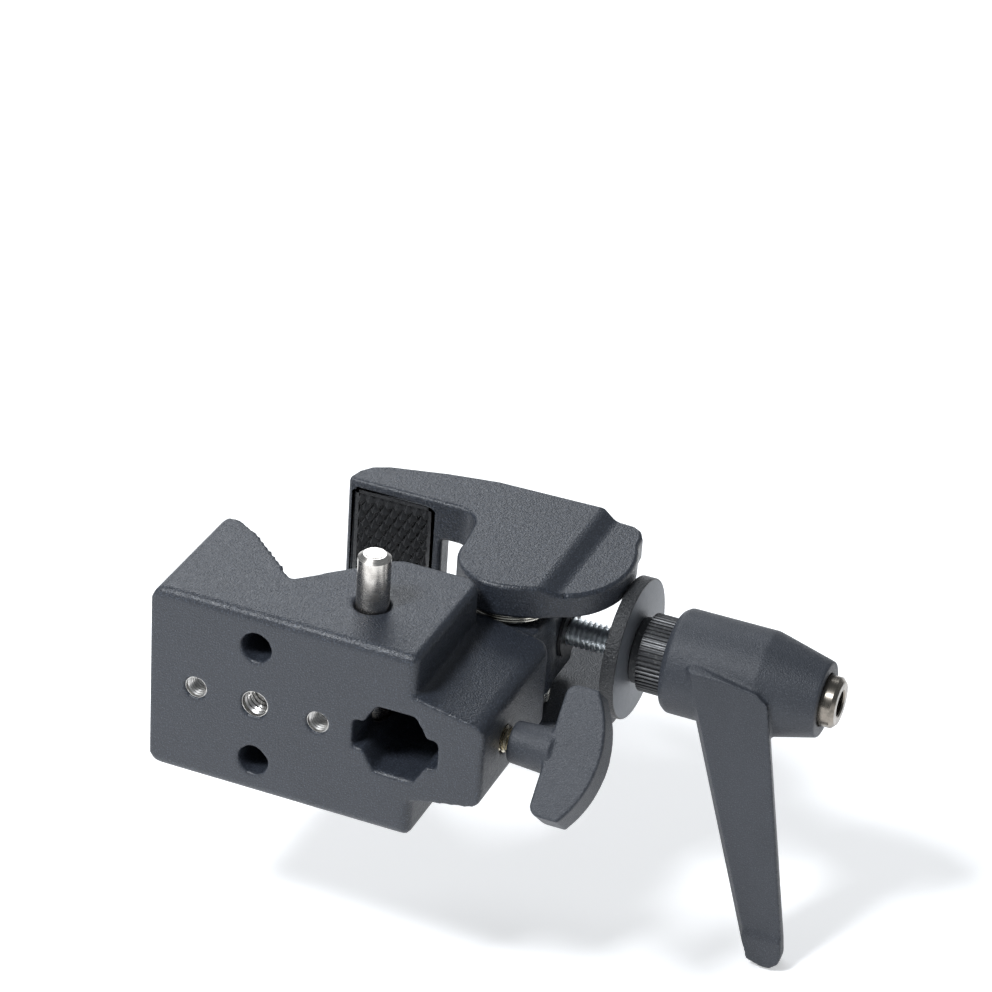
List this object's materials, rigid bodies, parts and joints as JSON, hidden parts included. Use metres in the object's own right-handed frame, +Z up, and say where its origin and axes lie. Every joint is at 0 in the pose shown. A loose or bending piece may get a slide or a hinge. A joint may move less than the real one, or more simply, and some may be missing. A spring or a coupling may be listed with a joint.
{
  "type": "super clamp",
  "caption": "Screw-driven clamp with a fixed vee jaw, a pivoting padded jaw, a ratchet lever, a hexagonal stud socket with a sprung catch and a wing screw.",
  "frame": {"origin": "centre of the hexagonal stud socket on the front face, at the clamp's mid height", "axes": "+Z up along the jaw pivot, +X along the clamp screw towards the lever, +Y from the front face towards the moving jaw"},
  "size_m": [0.1404, 0.0811, 0.1031],
  "materials": {
    "casting": "satin powder coat",
    "plastic": "fine grain",
    "rubber": "matt",
    "bright_steel": "nickel plated",
    "zinc_steel": "zinc plated",
    "black_steel": "blackened",
    "dark_nickel": "dark nickel",
    "brass": "machined"
  },
  "bodies": {
    "body": {"body_casting": "casting", "pivot_pin": "bright_steel", "jaw_spring_top": "bright_steel", "jaw_spring_bottom": "bright_steel", "screw_bushing": "black_steel", "catch_plug": "bright_steel", "catch_spring": "bright_steel", "middle_thread_insert": "bright_steel", "side_thread_inserts": "bright_steel"},
    "jaw": {"jaw_casting": "casting", "jaw_pad": "rubber"},
    "carriage": {"pressure_washer": "black_steel"},
    "screw": {"clamp_screw": "zinc_steel", "ratchet_collar": "black_steel", "lever_end_screw": "dark_nickel"},
    "lever_turn": {"lever_spring": "bright_steel"},
    "lever": {"lever_handle": "plastic"},
    "catch": {"catch_pin": "bright_steel"},
    "wing_carriage": {"stud_tip": "brass"},
    "wing": {"wing_knob": "plastic", "wing_stud": "brass"}
  },
  "joints": [
    {"name": "screw_travel", "type": "slide", "parent": "body", "child": "carriage", "axis": [1, 0, 0], "range_m": [-0.01055, 0.0023]},
    {"name": "jaw_pivot", "type": "hinge", "parent": "body", "child": "jaw", "pos_m": [0.0055, 0.05, 0], "axis": [0, 0, 1], "range_deg": [-12, 55]},
    {"name": "screw_spin", "type": "hinge", "parent": "carriage", "child": "screw", "pos_m": [0.041, 0.061, 0], "axis": [1, 0, 0], "range_deg": [-2992, 653]},
    {"name": "lever_index", "type": "hinge", "parent": "screw", "child": "lever_turn", "pos_m": [0.051, 0.061, 0], "axis": [1, 0, 0], "continuous": true},
    {"name": "lever_lift", "type": "slide", "parent": "lever_turn", "child": "lever", "axis": [1, 0, 0], "range_m": [0, 0.006], "stiffness_N_per_m": 900, "springref_m": -0.004},
    {"name": "catch_press", "type": "slide", "parent": "body", "child": "catch", "axis": [0, 0, -1], "range_m": [0, 0.006], "stiffness_N_per_m": 700, "springref_m": -0.003, "deforming": ["catch_spring"]},
    {"name": "wing_travel", "type": "slide", "parent": "body", "child": "wing_carriage", "axis": [-1, 0, 0], "range_m": [-0.006, 0.0012]},
    {"name": "wing_spin", "type": "hinge", "parent": "wing_carriage", "child": "wing", "pos_m": [0.026, 0.0135, 0], "axis": [1, 0, 0], "range_deg": [-433, 2161]}
  ],
  "couplings": [
    {"joint": "jaw_pivot", "follows": "screw_travel", "rad_per_m": -90.909},
    {"joint": "screw_spin", "follows": "screw_travel", "rad_per_m": 4947.4},
    {"joint": "wing_spin", "follows": "wing_travel", "rad_per_m": -6283.2}
  ]
}
